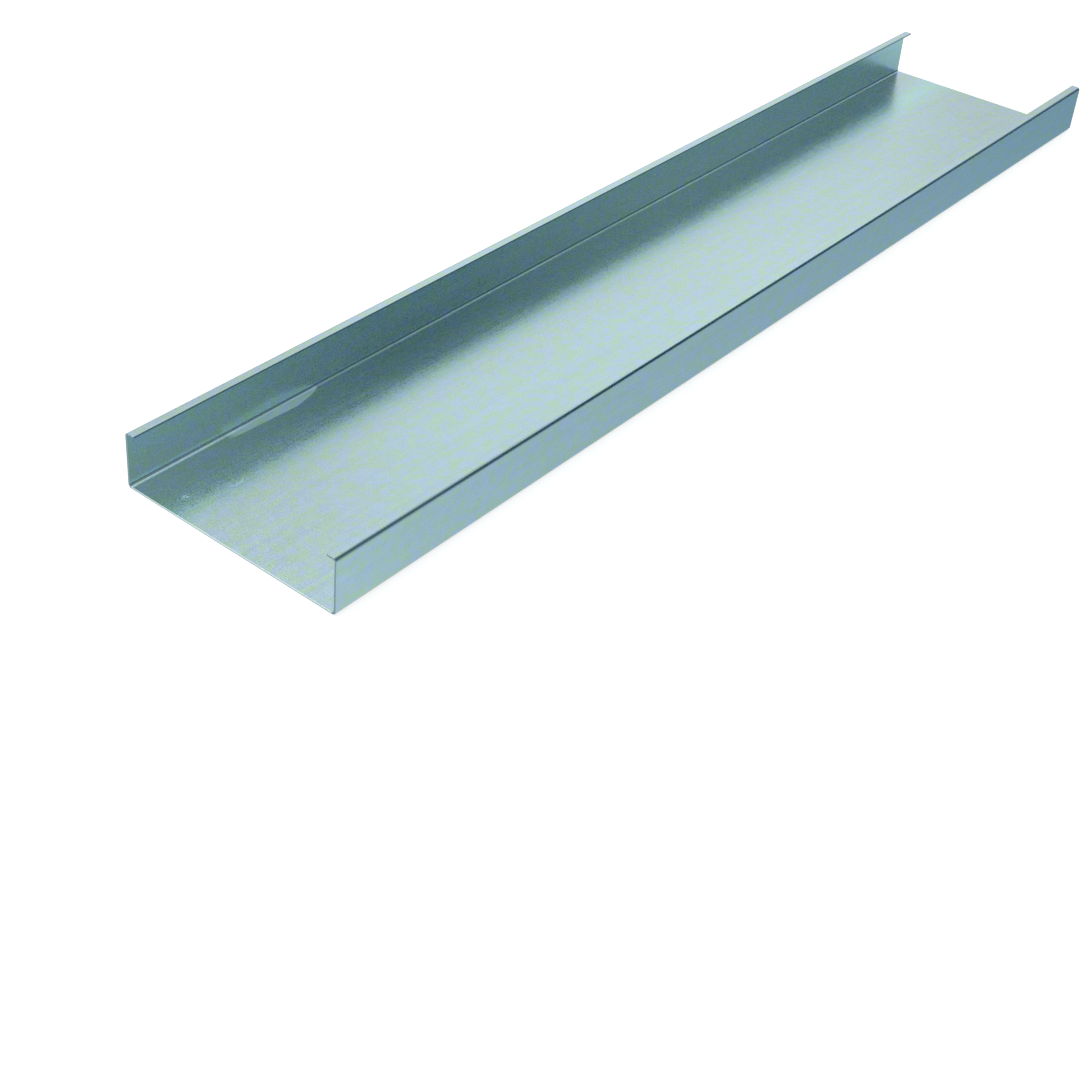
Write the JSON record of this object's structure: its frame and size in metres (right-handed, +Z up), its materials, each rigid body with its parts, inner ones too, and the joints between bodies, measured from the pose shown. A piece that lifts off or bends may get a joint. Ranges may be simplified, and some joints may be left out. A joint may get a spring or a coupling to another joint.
{
  "type": "floor trunking",
  "caption": "Open sheet-steel floor trunking: a shallow folded trough with a flat floor, upright walls and narrow lips turned inwards along the top.",
  "frame": {"origin": "middle of the underside, halfway along the trough", "axes": "+Y along the trough, +X across it, +Z up out of its open mouth"},
  "size_m": [0.195, 1, 0.043],
  "materials": {
    "galvanised_sheet": "hot-dip galvanised steel sheet, semi-gloss, fine spangle with faint rolling lines along the length"
  },
  "bodies": {
    "root": {"trough": "galvanised_sheet"}
  },
  "joints": []
}
